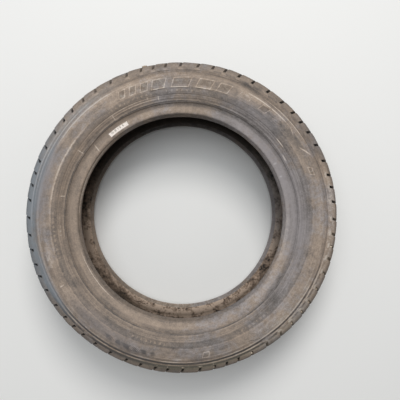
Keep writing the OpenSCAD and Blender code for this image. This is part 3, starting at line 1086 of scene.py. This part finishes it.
class TYRE_OT_dirt(bpy.types.Operator):
    """Packs dried mud into shoulder slots, and adds one chip there and crumbs on the lower bead"""
    bl_idname = "tyre.dirt"
    bl_label = "Dried mud"

    def execute(self, context):
        s = context.scene.tyre_sizes
        random.seed(17)
        whole = bmesh.new()
        _, starts = pitches(s)
        for start in starts:
            for side in (1, -1):
                self.fill_slot(whole, s, math.degrees(start), side)
        self.lump(whole, *CHIP)
        for _ in range(CRUMB_COUNT):
            turn = random.gauss(CRUMB_SIDE, CRUMB_SPREAD)
            y = -random.uniform(78, 88) * MM
            size = random.uniform(0.9, 2.2) * MM
            self.lump(whole, turn, CRUMB_R, y, (size * 1.5, size, size * 0.5))
        piece = show("dried_mud", whole, material("dried_mud", mud_material))
        smooth(piece, 60)
        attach(piece, "root")
        return {"FINISHED"}

    def fill_slot(self, bm, s, turn, side):
        """Puts a lump or two in a slot, if the slot is on the muddy side."""
        away = abs((turn + 12 - MUDDY_SIDE + 180) % 360 - 180)
        chance = max(0.0, 1.5 - away / 30) if side > 0 else 0.3
        if random.random() > chance:
            return
        for y in (random.uniform(77, 82), random.uniform(84, 88)):
            if random.random() < 0.3:
                continue
            radius = slot_floor_at(s, y * MM)
            lean = math.degrees(y * MM * math.tan(s.slot_slant) / CROWN_R) * side
            size = (random.uniform(1.5, 2.3) * MM, random.uniform(2.5, 4) * MM, random.uniform(2, 3.2) * MM)
            self.lump(bm, turn + lean, radius + 1.5 * MM, y * MM * side, size)

    def lump(self, bm, turn, radius, y, size):
        """A small rough lump: size is its half extents round, across and out from the tyre."""
        made = bmesh.ops.create_icosphere(bm, subdivisions=2, radius=1)
        angle = math.radians(turn)
        seed = Vector((random.random(), random.random(), random.random())) * 50
        out = Vector((math.cos(angle), math.sin(angle), 0))
        round_way = Vector((-out.y, out.x, 0))
        for vert in made["verts"]:
            shape = vert.co * (1 + 0.35 * noise.noise(vert.co * 1.7 + seed))
            place = out * (radius + shape.z * size[2]) + round_way * (shape.x * size[0])
            vert.co = settle(place + Vector((0, 0, MIDDLE + y + shape.y * size[1])))


class TYRE_OT_stage(bpy.types.Operator):
    """Lays the pale floor and sets the soft lamps and the camera"""
    bl_idname = "tyre.stage"
    bl_label = "Stage"

    def execute(self, context):
        looks = context.scene.tyre_looks
        bm = bmesh.new()
        bmesh.ops.create_grid(bm, x_segments=4, y_segments=4, size=6)
        show("floor", bm, material("pale_floor", floor_material))
        centre = Vector((0, 0, MIDDLE))
        self.lamp("key_lamp", (0.15, 1.5, 2.5), centre, 1.1, looks.key_power, (1.0, 0.985, 0.96))
        self.lamp("fill_lamp", (-0.25, 0.6, 2.9), centre, 1.6, looks.fill_power, (0.95, 0.98, 1.0))
        world = bpy.data.worlds.new("soft_sky")
        world.use_nodes = True
        sky = world.node_tree.nodes["Background"]
        sky.inputs["Color"].default_value = (1, 1, 1, 1)
        sky.inputs["Strength"].default_value = looks.sky_strength
        context.scene.world = world
        self.camera(context, place=(0.0161, 0.0387, 1.261), target=(0.0351, 0.0347, 0.177), lens=49.2)
        context.scene.view_settings.view_transform = "Standard"
        return {"FINISHED"}

    def lamp(self, name, place, target, size, power, colour):
        data = bpy.data.lights.new(name, "AREA")
        data.shape = "DISK"
        data.size = size
        data.energy = power
        data.color = colour
        lamp = put(name, data)
        lamp.location = place
        lamp.rotation_euler = (target - Vector(place)).to_track_quat("-Z", "Y").to_euler()

    def camera(self, context, place, target, lens):
        """Looks almost straight down, with +Y at the top."""
        data = bpy.data.cameras.new("camera")
        data.lens = lens
        data.sensor_width = 36
        camera = put("camera", data)
        back = (Vector(place) - Vector(target)).normalized()
        right = Vector((0, 1, 0)).cross(back).normalized()
        turned = Matrix((right, back.cross(right), back)).transposed().to_4x4()
        camera.matrix_world = Matrix.Translation(place) @ turned
        context.scene.camera = camera


class TYRE_PT_panel(bpy.types.Panel):
    """Lists the tyre's operators and sizes"""
    bl_idname = "TYRE_PT_panel"
    bl_label = "Worn Tyre"
    bl_space_type = "VIEW_3D"
    bl_region_type = "UI"
    bl_category = "Tyre"

    def draw(self, context):
        for operator in OPERATORS:
            self.layout.operator(operator.bl_idname)
        for group in (context.scene.tyre_sizes, context.scene.tyre_looks):
            for name in group.__annotations__:
                self.layout.prop(group, name)


OPERATORS = (TYRE_OT_casing, TYRE_OT_marks, TYRE_OT_label, TYRE_OT_dirt, TYRE_OT_stage)
CLASSES = (TyreSizes, TyreLooks) + OPERATORS + (TYRE_PT_panel,)


def register():
    for kind in CLASSES:
        bpy.utils.register_class(kind)
    bpy.types.Scene.tyre_sizes = PointerProperty(type=TyreSizes)
    bpy.types.Scene.tyre_looks = PointerProperty(type=TyreLooks)


def unregister():
    del bpy.types.Scene.tyre_looks
    del bpy.types.Scene.tyre_sizes
    for kind in reversed(CLASSES):
        bpy.utils.unregister_class(kind)


def main():
    register()
    bpy.ops.tyre.casing()
    bpy.ops.tyre.marks()
    bpy.ops.tyre.label()
    bpy.ops.tyre.dirt()
    bpy.ops.tyre.stage()


if __name__ == "__main__":
    main()
